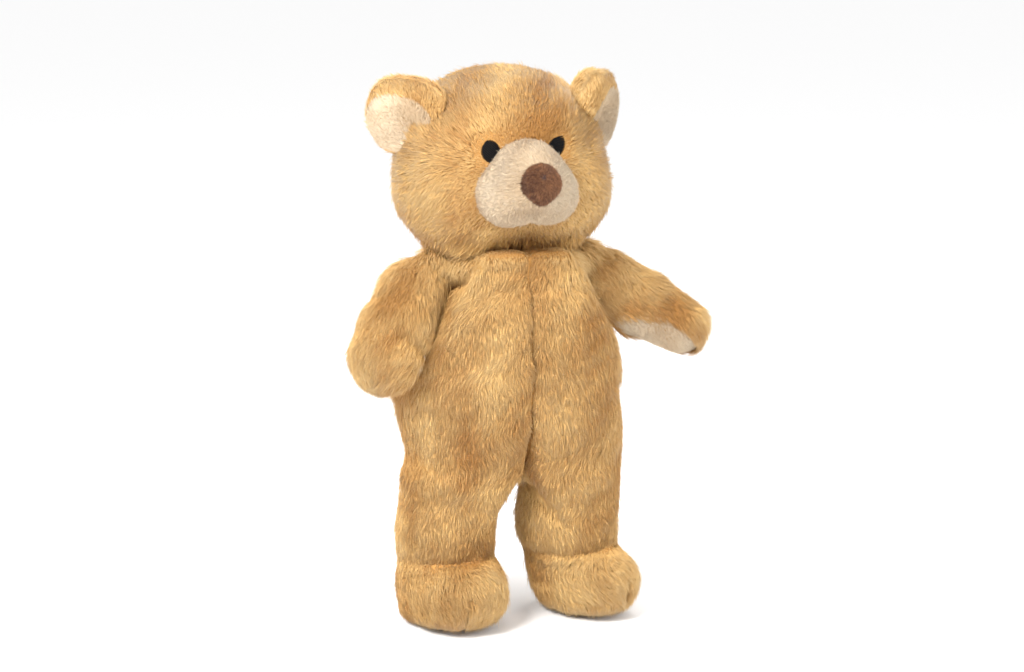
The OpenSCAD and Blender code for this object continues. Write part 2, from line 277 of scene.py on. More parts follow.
def leg_form(s):
    side = SIDES[s]
    turn = turn_z(TOE_TURN[s])

    def form(p):
        z = p[:, 2]
        x, wide, deep = (np.interp(z, LEG[:, 0], LEG[:, i]) for i in (1, 2, 3))
        tuck = fade(-z, -60, -34) * (2 if s == "left" else 0)
        splay = SPLAY[s] * fade(-z, -100, -60) + 1.5 * tuck
        wide = wide - SLIM[s] * fade(-z, -110, -84) - tuck
        square = 2.3 - 0.3 * fade(z, 66, 96)
        a = np.abs((p[:, 0] - side * x - splay) / wide) ** square
        b = np.abs(p[:, 1] / deep) ** square
        shank = ((a + b) ** (1 / square) - 1) * np.minimum(wide, deep) * 0.95
        shank = cut(cut(shank, z - 120, 24), 30 - z, 8)
        radius, half = (np.interp(z, SEAT_LINE[:, 0], SEAT_LINE[:, i]) for i in (1, 2))
        half = half + hip_bulge(s, z)
        out = np.abs(p[:, 0] - splay)
        ring = np.hypot(np.maximum(out - half + radius, 0), p[:, 1])
        lap = 5 + 13 * fade(-z, -146, -104)
        seat = cut((ring - radius) * 0.97, 0.6 - side * p[:, 0], lap)
        arch = CROTCH - z - 1.6 * np.maximum(side * p[:, 0] - 9, 0)
        seat = cut(cut(seat, z - 176, 4), arch * 0.6, 10)
        body = join(shank, seat, 3)
        q = p - np.array([LEG_X[s], 0, 0])
        foot = ball(q, (HEEL[s], 2, 26), (TOE_R[s], 31, 27))
        toe = q - turn @ np.array([0, -19, 0])
        foot = join(foot, ball(toe, (0, 0, 24), (TOE_R[s], 33, 25), turn), 12)
        crease = np.exp(-(((z - 50 - 0.06 * p[:, 1]) / 3.0) ** 2))
        body = join(body, foot, 7) + 1.2 * crease * fade(-p[:, 1], -10, 20)
        return cut(body, -slab(p, (0, 0, GROUND), (0, 0, 1)), 7)

    return form


EAR_AT = {s: np.array([HEAD_X + side * 68.5, 2, 340]) for s, side in SIDES.items()}
EAR_ROOT = {"right": (15, 6), "left": (20, 9)}
EAR_TURN = {s: turn_z(side * 52) for s, side in SIDES.items()}


def ear_form(s):
    def form(p):
        q = (p - EAR_AT[s]) @ EAR_TURN[s]
        disc = ball(q, (0, 0, 0), (24, 9.5, 24))
        inward, rise = EAR_ROOT[s]
        disc = join(disc, ball(q, (-inward * SIDES[s], 1, rise), (20, 9.5, 17)), 6)
        hollow = ball(q, (-5 * SIDES[s], -14, -6), (20, 13, 16))
        return cut(disc, -hollow, 6)

    return form


def nose_form(p):
    v = 1 - 0.16 * fade(-(p[:, 2] - 302), 0, 14) * np.minimum(np.abs(p[:, 0] - HEAD_X) / 9, 1)
    q = p - np.array([HEAD_X, -79, 302])
    return ball(q / v[:, None], (0, 0, 0), (13, 8.4, 12.8))


# ---- meshes ----


def surface(form, low, high, cell):
    """The zero surface of a form as points and quads, with one point in each cell it crosses."""
    axes = [np.arange(a, b + cell, cell) for a, b in zip(low, high)]
    grid = np.stack(np.meshgrid(*axes, indexing="ij"), -1)
    shape = grid.shape[:3]
    inside = form(grid.reshape(-1, 3)).reshape(shape) < 0
    n = [k - 1 for k in shape]
    count = sum(
        inside[i : i + n[0], j : j + n[1], k : k + n[2]].astype(int)
        for i in (0, 1)
        for j in (0, 1)
        for k in (0, 1)
    )
    mixed = (count > 0) & (count < 8)
    index = np.full(mixed.shape, -1)
    index[mixed] = np.arange(mixed.sum())
    points = grid[:-1, :-1, :-1][mixed] + cell / 2
    quads = []
    for axis in range(3):
        first = inside.take(range(shape[axis] - 1), axis)
        change = np.argwhere(first != inside.take(range(1, shape[axis]), axis))
        u, v = (axis + 1) % 3, (axis + 2) % 3
        ring = []
        for du, dv in ((-1, -1), (0, -1), (0, 0), (-1, 0)):
            step = np.zeros(3, int)
            step[u], step[v] = du, dv
            ring.append(index[tuple((change + step).T)])
        ring = np.stack(ring, 1)
        flip = ~first[tuple(change.T)]
        ring[flip] = ring[flip][:, ::-1]
        quads.append(ring)
    for _ in range(6):
        points = points - pull(form, points, cell)
    return points, np.concatenate(quads)


def pull(form, points, cell):
    value = form(points)
    e = 0.2
    slope = np.stack(
        [(form(points + d) - form(points - d)) / (2 * e) for d in np.eye(3) * e], -1
    )
    size = np.maximum((slope**2).sum(-1, keepdims=True), 0.2)
    return np.clip(0.8 * value[:, None] * slope / size, -cell / 2, cell / 2)


def mesh_object(name, points, faces):
    mesh = bpy.data.meshes.new(name)
    mesh.from_pydata(to_row(points).tolist(), [], faces)
    mesh.update()
    mesh.shade_smooth()
    obj = bpy.data.objects.new(name, mesh)
    bpy.context.scene.collection.objects.link(obj)
    return obj


def co_of(mesh):
    co = np.zeros(len(mesh.vertices) * 3, np.float32)
    mesh.vertices.foreach_get("co", co)
    return co.reshape(-1, 3).astype(float)


def plump(obj, pinned, cap):
    """Fills a skin with pressure, as stuffing does. Pinned points, near seams, stay put."""
    group = obj.vertex_groups.new(name="seam")
    for i in np.flatnonzero(pinned):
        group.add([int(i)], 1.0, "REPLACE")
    cloth = obj.modifiers.new("cloth", "CLOTH")
    cloth.settings.vertex_group_mass = "seam"
    cloth.settings.use_pressure = True
    cloth.settings.uniform_pressure_force = 4
    cloth.settings.effector_weights.gravity = 0
    cloth.settings.quality = 4
    cloth.point_cache.frame_start, cloth.point_cache.frame_end = 1, 20
    scene = bpy.context.scene
    for f in range(1, 21):
        scene.frame_set(f)
    blown = obj.evaluated_get(bpy.context.evaluated_depsgraph_get()).to_mesh()
    move = co_of(blown) - co_of(obj.data)
    obj.modifiers.remove(cloth)
    scene.frame_set(1)
    size = np.linalg.norm(move, axis=1, keepdims=True)
    move = move * np.minimum(1, cap * MM / np.maximum(size, 1e-9))
    obj.data.vertices.foreach_set("co", (co_of(obj.data) + move).astype(np.float32).ravel())
    obj.vertex_groups.clear()
    obj.data.update()


def applied(obj, kind, **values):
    m = obj.modifiers.new(kind.lower(), kind)
    for k, v in values.items():
        setattr(m, k, v)
    done = bpy.data.meshes.new_from_object(obj.evaluated_get(bpy.context.evaluated_depsgraph_get()))
    obj.modifiers.clear()
    obj.data = done
    obj.data.shade_smooth()


blended = {f"leg_{s}": ((0, 0, 0.158), (0, 0, 0.108)) for s in SIDES}


def follow(obj, body):
    """A leg's plush, listed in blended, has its place baked into its points and rides on no body;
    everything else rides on its own body.
    """
    if body in blended:
        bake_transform(obj)
    else:
        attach(obj, body)


def skin(name, form, low, high, cell, body, nodes, pinned=None, cap=4.0):
    """A stuffed skin: the form's surface, plumped by cloth pressure when pins are given, and
    subdivided once.
    """
    points, quads = surface(form, low, high, cell)
    obj = mesh_object(name, points, quads.tolist())
    if pinned is not None:
        plump(obj, pinned(points), cap)
    applied(obj, "SUBSURF", levels=1)
    follow(obj, body)
    if nodes:
        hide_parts(*nodes)
    return obj


class Ground:
    """A skin's triangles, ready to root pile on."""

    def __init__(self, obj):
        mesh = obj.data
        mesh.calc_loop_triangles()
        tris = np.zeros(len(mesh.loop_triangles) * 3, np.int32)
        mesh.loop_triangles.foreach_get("vertices", tris)
        normals = np.zeros(len(mesh.vertices) * 3, np.float32)
        mesh.vertices.foreach_get("normal", normals)
        self.tris = tris.reshape(-1, 3)
        self.co = from_row(co_of(mesh))
        self.normals = normals.reshape(-1, 3).astype(float)
        a, b, c = (self.co[self.tris[:, i]] for i in range(3))
        self.area = np.linalg.norm(np.cross(b - a, c - a), axis=1) / 2

    def roots(self, density, r):
        count = int(self.area.sum() * density)
        pick = r.choice(len(self.area), count, p=self.area / self.area.sum())
        u, v = r.random((2, count, 1))
        u, v = np.where(u + v > 1, 1 - u, u), np.where(u + v > 1, 1 - v, v)
        t = self.tris[pick]
        mix = lambda x: x[t[:, 0]] * (1 - u - v) + x[t[:, 1]] * u + x[t[:, 2]] * v
        return mix(self.co), unit(mix(self.normals))


# ---- pile ----

TONES = 64  # columns of the pile's palette
MOST = 33000  # strands in one piece, which keeps it under 200,000 triangles
# The palette's UV map has the name of the map that the export bakes on, so the bake uses the
# palette instead of unwrapping every strand. Strands of one tone share their place in it.
PALETTE_UV = "OFBake"


def clumps(p, size):
    """A clump number for each root, and each root's offset to its clump's middle."""
    q = p + 0.35 * size * ripple(p, size * 3.1, 5)
    key = np.floor(q / size).astype(np.int64) + 4096
    key = (key[:, 0] * 8192 + key[:, 1]) * 8192 + key[:, 2]
    _, which = np.unique(key, return_inverse=True)
    n = which.max() + 1
    total = np.zeros((n, 3))
    np.add.at(total, which, p)
    mean = total / np.bincount(which)[:, None]
    return which, mean[which] - p


def pile(name, ground, keep, comb, body, nodes, material, seed, density=3.6, length=13.5,
         lift=0.19, width=0.33, clump=1.5, gather=0.22, grain=0.85, sway=1.0, tone=0.58, floor=0.6):
    """Pile on a skin: one closed tapered strand of five points per root, bent once midway."""
    r = np.random.default_rng(seed)
    p, n = ground.roots(density, r)
    ok = keep(p, n)
    p, n = p[ok], n[ok]
    order = np.argsort(p[:, 1] + p[:, 2] * 0.01)
    p, n = p[order], n[order]
    count = len(p)
    c = unit(along(comb(p, n), n))
    size = length(p) if callable(length) else np.full(count, float(length))
    which, to_mid = clumps(p, clump)
    k = which.max() + 1
    turn = 0.3 * ripple(p, 44, 21) + 0.14 * ripple(p, 15, 22) + 0.06 * r.normal(size=(k, 3))[which]
    c = unit(along(c + sway * turn + 0.08 * r.normal(size=(count, 3)), n))
    size = size * (1 + 0.08 * r.normal(size=k)[which]) * r.uniform(0.72, 1.1, count)
    rise = 1 + 0.35 * ripple(p, 24, 23)[:, 0] + 0.15 * r.normal(size=k)[which]
    low = lift(p) if callable(lift) else lift
    rise = low * (rise + 0.25 * r.normal(size=count) + 1.2 * (r.random(count) > 0.98))
    rise = np.clip(rise, 0.05, 1.2)[:, None]
    L = size[:, None]
    pull_in = along(to_mid, n) * gather
    side = unit(np.cross(n, c))
    mid = p + n * rise * L * 0.6 + c * L * 0.36 + 0.4 * pull_in
    tip = p + n * rise * L * 0.8 + c * L * 0.9 + pull_in
    root = p - n * 0.5
    lean = unit(tip - mid)
    up = unit(np.cross(lean, side))
    w = width * r.uniform(0.7, 1.3, (count, 1)) * np.clip(L / 7, 0.5, 1.0)
    verts = np.stack(
        [root, mid - side * w / 2, mid + side * w / 2, mid + up * w * 0.45, tip], 1
    )
    verts[:, :, 2] = np.maximum(verts[:, :, 2], floor)
    faces = np.array([[0, 2, 1], [0, 3, 2], [0, 1, 3], [4, 1, 2], [4, 2, 3], [4, 3, 1]])
    # The two broad ripples paint sheen and shade, light and dark waves standing in for light caught
    # by the lie of the fibres; the clump and strand grain is the pile's own tone that differs at
    # random.
    shade = (tone(p) if callable(tone) else tone) + 0.3 * ripple(p, 48, 24)[:, 1]
    shade = shade + 0.15 * ripple(p, 14, 25)[:, 1]
    shade = shade + grain * (0.1 * r.normal(size=k)[which] + 0.09 * r.normal(size=count))
    column = (np.floor(np.clip(shade, 0.01, 0.99) * TONES) + 0.5) / TONES
    rows = np.array([0.03, 0.5, 0.5, 0.5, 0.97])
    nudge = np.array([0.0, -0.35, 0.35, 0.0, 0.0]) / TONES
    parts = math.ceil(count / MOST)
    for i, some in enumerate(np.array_split(np.arange(count), parts)):
        base = np.arange(len(some))[:, None, None] * 5
        tris = (base + faces).reshape(-1)
        across = column[some][:, None] + nudge[faces.ravel()]
        uv = np.stack([across, np.broadcast_to(rows[faces.ravel()], across.shape)], -1)
        word = name if parts == 1 else f"{name}_{i + 1}"
        mesh = bpy.data.meshes.new(word)
        mesh.vertices.add(len(some) * 5)
        co = to_row(verts[some].reshape(-1, 3))
        mesh.vertices.foreach_set("co", co.astype(np.float32).ravel())
        mesh.loops.add(len(tris))
        mesh.loops.foreach_set("vertex_index", tris.astype(np.int32))
        mesh.polygons.add(len(some) * 6)
        mesh.polygons.foreach_set("loop_start", np.arange(len(some) * 6, dtype=np.int32) * 3)
        mesh.update(calc_edges=True)
        palette = mesh.uv_layers.new(name=PALETTE_UV)
        palette.uv.foreach_set("vector", uv.astype(np.float32).ravel())
        mesh.shade_smooth()
        obj = bpy.data.objects.new(word, mesh)
        bpy.context.scene.collection.objects.link(obj)
        mesh.materials.append(material)
        follow(obj, body)
        if nodes:
            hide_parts(*nodes)


# ---- materials ----


def new_material(name, rough=0.6):
    m = bpy.data.materials.new(name)
    m.use_nodes = True
    shader = m.node_tree.nodes["Principled BSDF"]
    shader.inputs["Roughness"].default_value = rough
    return m, m.node_tree.nodes, m.node_tree.links, shader


def ramp(nodes, stops):
    node = nodes.new("ShaderNodeValToRGB")
    e = node.color_ramp.elements
    while len(e) < len(stops):
        e.new(0.5)
    for element, (at, colour) in zip(e, stops):
        element.position = at
        element.color = (*colour, 1)
    return node


def pile_material(name, dark, light, rough, sheen, specular=0.5):
    """Pile whose colour runs from root to tip, between a darker and a lighter strand."""
    m, nodes, links, shader = new_material(name, rough)
    uv = nodes.new("ShaderNodeUVMap")
    uv.uv_map = PALETTE_UV
    split = nodes.new("ShaderNodeSeparateXYZ")
    links.new(uv.outputs["UV"], split.inputs[0])
    low, high = ramp(nodes, dark), ramp(nodes, light)
    mix = nodes.new("ShaderNodeMixRGB")
    for r in (low, high):
        links.new(split.outputs["Y"], r.inputs["Fac"])
    links.new(split.outputs["X"], mix.inputs["Fac"])
    links.new(low.outputs["Color"], mix.inputs["Color1"])
    links.new(high.outputs["Color"], mix.inputs["Color2"])
    links.new(mix.outputs["Color"], shader.inputs["Base Color"])
    shader.inputs["Sheen Weight"].default_value = sheen
    shader.inputs["Sheen Roughness"].default_value = 0.4
    shader.inputs["Specular IOR Level"].default_value = specular
    return m


def cloth_material(name, dark, light, scale, rough=0.85, bump=0.15, specular=0.3):
    """Knitted backing: two tones in a fine noise, with a shallow bump."""
    m, nodes, links, shader = new_material(name, rough)
    place = nodes.new("ShaderNodeTexCoord")
    noise = nodes.new("ShaderNodeTexNoise")
    noise.inputs["Scale"].default_value = scale
    noise.inputs["Detail"].default_value = 4
    links.new(place.outputs["Object"], noise.inputs["Vector"])
    r = ramp(nodes, [(0.3, dark), (0.7, light)])
    links.new(noise.outputs["Fac"], r.inputs["Fac"])
    links.new(r.outputs["Color"], shader.inputs["Base Color"])
    shader.inputs["Specular IOR Level"].default_value = specular
    b = nodes.new("ShaderNodeBump")
    b.inputs["Strength"].default_value = bump
    b.inputs["Distance"].default_value = 0.001
    links.new(noise.outputs["Fac"], b.inputs["Height"])
    links.new(b.outputs["Normal"], shader.inputs["Normal"])
    return m


GOLD = pile_material(
    "gold_pile",
    [(0.0, (0.20, 0.08, 0.015)), (0.45, (0.40, 0.18, 0.04)), (1.0, (0.52, 0.27, 0.075))],
    [(0.0, (0.38, 0.18, 0.045)), (0.45, (0.70, 0.43, 0.145)), (1.0, (0.86, 0.62, 0.30))],
    rough=0.42, sheen=0.05, specular=0.4,
)
CREAM = pile_material(
    "cream_pile",
    [(0.0, (0.44, 0.30, 0.17)), (1.0, (0.62, 0.46, 0.29))],
    [(0.0, (0.58, 0.43, 0.28)), (1.0, (0.82, 0.69, 0.50))],
    rough=0.6, sheen=0.1,
)
BROWN = pile_material(
    "nose_nap",
    [(0.0, (0.05, 0.017, 0.007)), (1.0, (0.12, 0.046, 0.018))],
    [(0.0, (0.15, 0.055, 0.021)), (1.0, (0.44, 0.20, 0.09))],
    rough=0.6, sheen=0.05, specular=0.25,
)
GOLD_BACK = cloth_material("gold_backing", (0.34, 0.16, 0.04), (0.50, 0.26, 0.075), 900)
CREAM_BACK = cloth_material("cream_backing", (0.56, 0.40, 0.25), (0.66, 0.50, 0.34), 900)
NOSE_BACK = cloth_material("nose_backing", (0.03, 0.014, 0.01), (0.06, 0.03, 0.024), 900)
THREAD = cloth_material(
    "black_thread", (0.002, 0.002, 0.002), (0.009, 0.008, 0.008), 2500, 0.6, specular=0.1
)
BOARD = cloth_material("joint_board", (0.24, 0.14, 0.07), (0.34, 0.22, 0.12), 300, 0.7)
STEEL = cloth_material("joint_steel", (0.42, 0.43, 0.45), (0.6, 0.61, 0.63), 500, 0.35, 0.05)
STEEL.node_tree.nodes["Principled BSDF"].inputs["Metallic"].default_value = 1.0

# ---- skins ----


def torso_pins(p):
    near_arm = [slab(p, SHOULDER[s] - 3 * ARM_OUT[s], -ARM_OUT[s]) for s in SIDES]
    seam = (np.abs(p[:, 0]) < 3) | ((np.abs(p[:, 0]) < 14) & (p[:, 2] < SEAT))
    return seam | (p[:, 2] > 246) | (np.min(near_arm, 0) < 0)


torso = skin(
    "torso_skin", torso_form, (-80, -60, 84), (80, 60, 262), 4.2, "torso", ["torso_stuffing"],
    torso_pins, cap=2.5,
)
head = skin(
    "head_skin", head_form, (-90, -66, 248), (78, 66, 378), 4.2, "head", ["head_stuffing"],
    lambda p: (p[:, 2] < 262) | (ball(p, (HEAD_X, -52, 306), (40, 30, 34)) < 0),
    cap=2.5,
)
muzzle = skin(
    "muzzle_skin", lambda p: cut(muzzle_form(p), -head_form(p) - 5, 3), (-50, -92, 264),
    (38, -20, 340), 2.8, "head", ["muzzle_right", "muzzle_left"],
)
nose = skin(
    "nose_skin", nose_form, (-26, -94, 282), (14, -66, 322), 1.8, "head", ["nose"]
)
arm, leg, ear = {}, {}, {}
for s, side in SIDES.items():
    start, way, inward, wide = arm_way(s)
    ends = np.array([start, start + way * REACH[s]])
    arm[s] = skin(
        f"arm_{s}_skin", arm_form(s), ends.min(0) - 32, ends.max(0) + 32, 3.6, f"arm_{s}",
        [f"arm_{s}_stuffing"],
        lambda p, s=s: slab(p, SHOULDER[s] + 6 * ARM_OUT[s], ARM_OUT[s]) < 0,
        cap=2.0,
    )
    leg[s] = skin(
        f"leg_{s}_skin", leg_form(s), (LEG_X[s] - 50, -66, -6), (LEG_X[s] + 50, 54, 184), 4.0,
        f"leg_{s}", [f"leg_{s}_stuffing"],
        lambda p, s=s: (p[:, 2] < 6) | (np.abs(p[:, 2] - 50) < 4)
        | ((np.abs(p[:, 0]) < 5) & (p[:, 2] > 90)),
        cap=2.5,
    )
    ear[s] = skin(
        f"ear_{s}_skin", ear_form(s), EAR_AT[s] - 34, EAR_AT[s] + 34, 2.2, "head", [],
    )
for piece in (torso, head, *arm.values(), *leg.values(), *ear.values()):
    piece.data.materials.append(GOLD_BACK)
muzzle.data.materials.append(CREAM_BACK)
nose.data.materials.append(NOSE_BACK)

# ---- eyes: satin stitches laid side by side over a low oval mound ----

EYE_HALF = 6.5  # half the oval's width
EYE_TALL = 8.1  # half its height
EYE_AT = {"right": (-21.8, 320.0), "left": (20.4, 321.2)}  # across from the head's middle, and up


def eye_frame(s):
    """The middle of an eye on the head's surface and its outward, across and up directions."""
    side = SIDES[s]
    x, z = EYE_AT[s]
    p = np.array([[HEAD_X + x, -70.0, z]])
    for _ in range(60):
        p[:, 1] += np.maximum(head_form(p), 0.02) * 0.6
    e = 0.5
    n = np.array([(head_form(p + d) - head_form(p - d))[0] for d in np.eye(3) * e])
    n = unit(n)
    lean = math.radians(22) * side
    up = unit(along(np.array([math.sin(lean), 0, math.cos(lean)]), n))
    return p[0], n, np.cross(up, n), up


def eye(s):
    """Rows of thread, each a low arched tube that is closed at both ends."""
    at, out, across, up = eye_place[s]
    points, faces = [], []
    rows = 17
    for i in range(rows):
        v = (i + 0.5) / rows * 2 - 1
        half = EYE_HALF * math.sqrt(1 - v * v) + 0.25
        steps, sides = 9, 5
        first = len(points)
        for j in range(steps):
            u = j / (steps - 1) * 2 - 1
            dome = 1.5 * math.sqrt(max(0.0, 1 - (u * half / (EYE_HALF + 1)) ** 2 - 0.8 * v * v))
            mid = at + across * u * half + up * (v * EYE_TALL + 1.2 * u) + out * (0.9 + dome)
            thick = 0.5 if 0 < j < steps - 1 else 0.25
            for k in range(sides):
                a = 2 * math.pi * k / sides
                points.append(mid + thick * (math.cos(a) * up + math.sin(a) * out))
        for j in range(steps - 1):
            for k in range(sides):
                a, b = first + j * sides + k, first + j * sides + (k + 1) % sides
                faces.append([a, b, b + sides, a + sides])
        faces.append([first + k for k in range(sides)][::-1])
        faces.append([first + (steps - 1) * sides + k for k in range(sides)])
    obj = mesh_object(f"eye_{s}_stitches", np.array(points), faces)
    obj.data.materials.append(THREAD)
    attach(obj, "head")
    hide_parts(f"eye_{s}")


eye_place = {s: eye_frame(s) for s in SIDES}
for s in SIDES:
    eye(s)

# ---- pile on each panel ----

FACE = np.array([HEAD_X, -50.0, 304.0])
DOWN = np.array([0, 0, -1.0])
UP = -DOWN


def near_neck(p, x):
    """Inside the flat oval where the head and the torso turn on each other."""
    half, radius = JOINT_BARE
    return np.hypot(np.maximum(np.abs(p[:, 0] - x) - half, 0), p[:, 1]) < radius


def near_eye(p, grow):
    hit = np.zeros(len(p), bool)
    for at, out, across, up in eye_place.values():
        q = p - at
        hit |= (q @ across / (EYE_HALF + grow)) ** 2 + (q @ up / (EYE_TALL + grow)) ** 2 < 1
    return hit & (p[:, 1] < -20)


def eye_gap(p):
    """About how far a point is outside the nearer eye."""
    gap = [
        7 * np.sqrt((q @ across / EYE_HALF) ** 2 + (q @ up / EYE_TALL) ** 2 + (q @ out / 8) ** 2)
        - 7
        for at, out, across, up in eye_place.values()
        for q in [p - at]
    ]
    return np.maximum(np.min(gap, 0), 0)


def on_head(p, n):
    under = (n[:, 2] < -0.6) & near_neck(p, HEAD_X)
    bare = (muzzle_form(p) < -1.5) | near_eye(p, -0.7) | under
    for s in SIDES:
        bare |= ear_form(s)(p) < -2
    return ~bare


def head_comb(p, n):
    """Away from the face, upwards over the crown, downwards on the cheeks and at the back."""
    away = along(unit(p - FACE), n)
    low = (1 - fade(p[:, 2], 292, 340))[:, None]
    rear = fade(p[:, 1], -10, 34)[:, None]
    hang = fade(-p[:, 2], -276, -258)[:, None]
    lift = fade(p[:, 2], 300, 330)[:, None] * (1 - rear)
    fall = 0.55 * low + 0.9 * rear + 1.0 * hang
    return away * (1.1 - 0.4 * hang) + fall * DOWN + 0.5 * lift * UP


def head_length(p):
    gap = np.minimum(np.maximum(muzzle_form(p), 0), 60)
    length = 5.0 + 7.5 * fade(gap, 2, 26) + 5.0 * fade(-p[:, 2], -280, -262)
    return length * (1 - 0.7 * np.exp(-((eye_gap(p) / 4) ** 2)))


def head_lift(p):
    """The lowest hair hangs over the neck joint."""
    return 0.19 + 0.26 * fade(-p[:, 2], -267, -257)


def head_tone(p):
    # Painted shade: darker close round the muzzle's edge and in the hollow of the brow between the
    # eyes.
    gap = np.maximum(muzzle_form(p), 0)
    brow_shade = np.linalg.norm((p - [HEAD_X, -48, 328]) / [38, 30, 20], axis=1)
    cheek = 0.18 * fade(-p[:, 2], -330, -300) - 0.04 * fade(p[:, 2], 335, 362)
    return 0.58 + cheek - 0.22 * np.exp(-((gap / 8) ** 2)) - 0.42 * np.exp(-(brow_shade**2))


GUSSET = 22.0  # half width


def in_gusset(p):
    return (np.abs(p[:, 0] - HEAD_X) < GUSSET) & ((p[:, 2] > 300) | (p[:, 1] > 0))


head_ground = Ground(head)
pile("head_gusset_pile", head_ground, lambda p, n: on_head(p, n) & in_gusset(p), head_comb, "head",
     ["head_gusset"], GOLD, 11, length=head_length, lift=head_lift,
     tone=head_tone)
for i, (s, side) in enumerate(SIDES.items()):
    pile(f"head_side_{s}_pile", head_ground,
         lambda p, n: on_head(p, n) & ~in_gusset(p) & ((p[:, 0] - HEAD_X) * side > 0),
         head_comb, "head", [f"head_side_{s}"], GOLD, 12 + i, length=head_length,
         lift=head_lift, tone=head_tone)


def above_waist(p):
    """The torso's and the legs' pile meet along a ragged line, so no edge shows where they lap."""
    return p[:, 2] + 6 * ripple(p, 9, 31)[:, 0] + 4 * ripple(p, 30, 32)[:, 1] > SEAT + 8


def on_torso(p, n):
    top = (n[:, 2] > 0.6) & near_neck(p, 0)
    bare = top | (n[:, 2] < -0.8) | (~above_waist(p) & (np.abs(p[:, 0]) > 12))
    for s in SIDES:
        q = p - SHOULDER[s]
        flat = np.abs(q @ ARM_OUT[s]) < 1.4
        bare |= flat & (np.linalg.norm(along(q, ARM_OUT[s]), axis=1) < 18)
    seam = (np.abs(p[:, 0]) < 1.1) & (p[:, 1] < 0)
    return ~(bare | seam)


def torso_comb(p, n):
    to_seam = -np.sign(p[:, 0]) * np.exp(-np.abs(p[:, 0]) / 4) * (p[:, 1] < 0)
    v = np.zeros_like(p)
    v[:, 0] = 0.15 * to_seam + 0.004 * p[:, 0]
    v[:, 2] = -1
    return v + unit(p * [1, 1, 0]) * fade(n[:, 2], 0.3, 0.8)[:, None]


RIGHT_ARM = arm_form("right")


def torso_length(p):
    near_seam = np.exp(-((p[:, 0] / 3.5) ** 2)) * (p[:, 1] < 0)
    inside = (p[:, 2] < SEAT - 5) & (p[:, 2] > 103)
    rim = 1 - 0.45 * fade(p[:, 2], 244, 251) - 0.35 * fade(p[:, 2], 251.3, 252.8)
    return 13.5 * (1 - 0.6 * near_seam) * rim * np.where(inside, 0.3, 1)


def body_tone(p):
    """A little darker low over the belly, round the hips' height, and painted shade in the fold
    beside the right arm.
    """
    # painted shade where the torso lies against the right arm
    fold = np.exp(-((np.maximum(RIGHT_ARM(p) - 2, 0) / 9) ** 2)) * fade(-p[:, 2], -240, -225)
    return 0.58 - 0.13 * np.exp(-(((p[:, 2] - 138) / 30) ** 2)) - 0.5 * fold


torso_ground = Ground(torso)
for i, (s, side) in enumerate(SIDES.items()):
    for j, (part, way) in enumerate((("front", -1), ("back", 1))):
        pile(f"torso_{part}_{s}_pile", torso_ground,
             lambda p, n: on_torso(p, n) & (p[:, 0] * side > 0) & (p[:, 1] * way > 0),
             torso_comb, "torso", [f"torso_{part}_{s}"], GOLD, 21 + 2 * i + j,
             length=torso_length, tone=body_tone)

